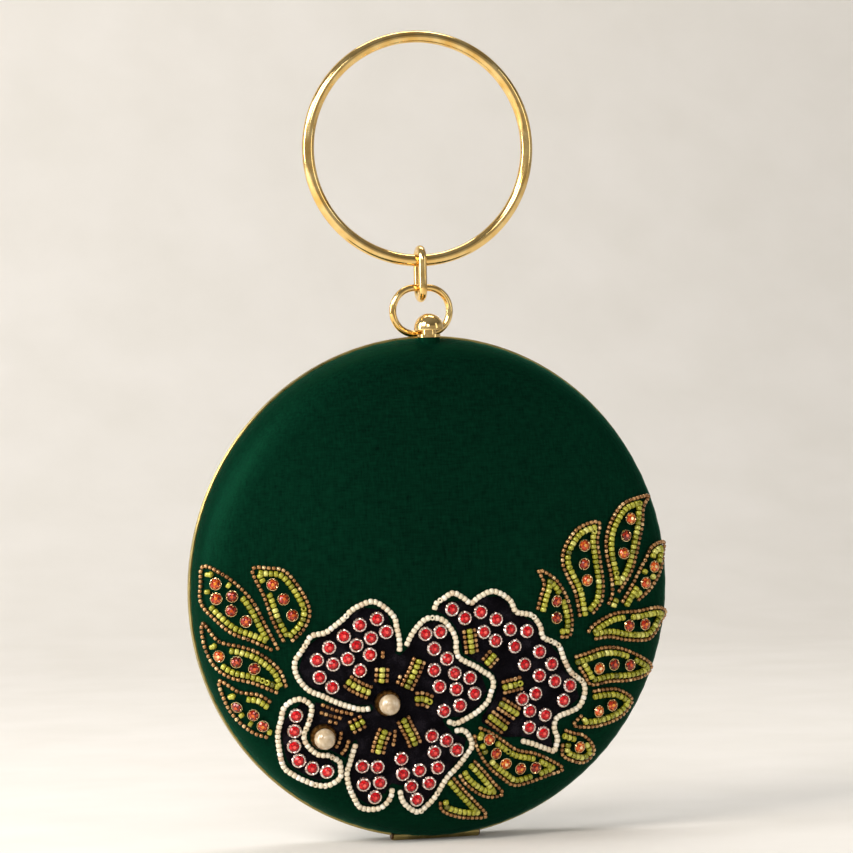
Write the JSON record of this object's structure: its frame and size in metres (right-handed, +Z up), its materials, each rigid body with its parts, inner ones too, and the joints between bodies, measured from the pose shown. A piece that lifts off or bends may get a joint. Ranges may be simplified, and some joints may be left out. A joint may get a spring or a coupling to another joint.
{
  "type": "evening bag",
  "caption": "Round clamshell evening bag: domed satin halves in thin metal rims, ball-button latch, ring handle on a link, and a beaded and jewelled flower spray on the front.",
  "frame": {"origin": "middle of the flat under the bottom hinge, on the seam between the two halves", "axes": "+X along the hinge, to the right when the beaded front is seen; the front faces -Y; +Z up to the handle"},
  "size_m": [0.19, 0.0574, 0.306],
  "materials": {
    "gold_metal": "polished pale gold plate",
    "gold_inside": "satin pale gold plate",
    "satin": "deep emerald satin",
    "padding": "thin foam padding",
    "shell": "pressed stiff shell",
    "lining": "dark green lining cloth",
    "spring_steel": "bright spring wire",
    "velvet": "black velvet",
    "ivory_bead": "opaque ivory glass seed beads",
    "green_bead": "olive green lustre glass rondelles",
    "bronze_bead": "bronze lustre glass seed beads",
    "pale_setting": "pale serrated setting",
    "red_stone": "ruby red cut glass",
    "gold_setting": "pale gold setting",
    "amber_stone": "amber and orange cut glass",
    "pearl": "champagne pearl",
    "dark_cup": "darkened brass cup"
  },
  "bodies": {
    "back_half": {"back_rim": "gold_metal", "back_cover": "satin", "back_padding": "padding", "back_shell": "shell", "back_lining": "lining", "hinge_pin": "gold_metal", "ring_lug": "gold_metal", "catch_plate": "gold_inside"},
    "button": {"button_ball": "gold_metal", "latch_plate": "gold_inside"},
    "small_ring": {"small_ring": "gold_metal"},
    "link": {"link": "gold_metal"},
    "handle": {"handle_ring": "gold_metal"},
    "front_half": {"front_rim": "gold_metal", "front_cover": "satin", "front_padding": "padding", "front_shell": "shell", "front_lining": "lining", "button_collar": "gold_metal", "button_spring": "spring_steel", "flower_felt": "velvet", "side_flower_felt": "velvet", "bud_felt": "velvet", "ivory_left_petal": "ivory_bead", "ivory_top_petal": "ivory_bead", "ivory_right_petal": "ivory_bead", "ivory_foot_petal": "ivory_bead", "ivory_bud": "ivory_bead", "ivory_side_flower": "ivory_bead", "stamen_greens": "green_bead", "stamen_bronzes": "bronze_bead", "bronze_leaves_left": "bronze_bead", "bronze_leaves_right": "bronze_bead", "green_leaves_left": "green_bead", "green_leaves_right": "green_bead", "red_settings": "pale_setting", "red_stones": "red_stone", "crystal_settings": "gold_setting", "amber_crystals": "amber_stone", "pearls": "pearl", "pearl_cups": "dark_cup"}
  },
  "joints": [
    {"name": "case_hinge", "type": "hinge", "parent": "back_half", "child": "front_half", "pos_m": [0, 0, 0.00175], "axis": [1, 0, 0], "range_deg": [0, 70]},
    {"name": "button_press", "type": "slide", "parent": "front_half", "child": "button", "axis": [0, 0, -1], "range_m": [0, 0.0015], "stiffness_N_per_m": 800, "deforming": ["button_spring"]},
    {"name": "small_ring_swing", "type": "hinge", "parent": "back_half", "child": "small_ring", "pos_m": [0, 0.0036, 0.1912], "axis": [1, 0, 0], "range_deg": [-90, 42]},
    {"name": "link_swing", "type": "hinge", "parent": "small_ring", "child": "link", "pos_m": [0, 0.0036, 0.20865], "axis": [0.9945, -0.1045, 0], "range_deg": [-45, 60]},
    {"name": "handle_swing", "type": "hinge", "parent": "link", "child": "handle", "pos_m": [0, 0.0036, 0.219], "axis": [0.9945, -0.1045, 0], "range_deg": [-35, 50]}
  ]
}
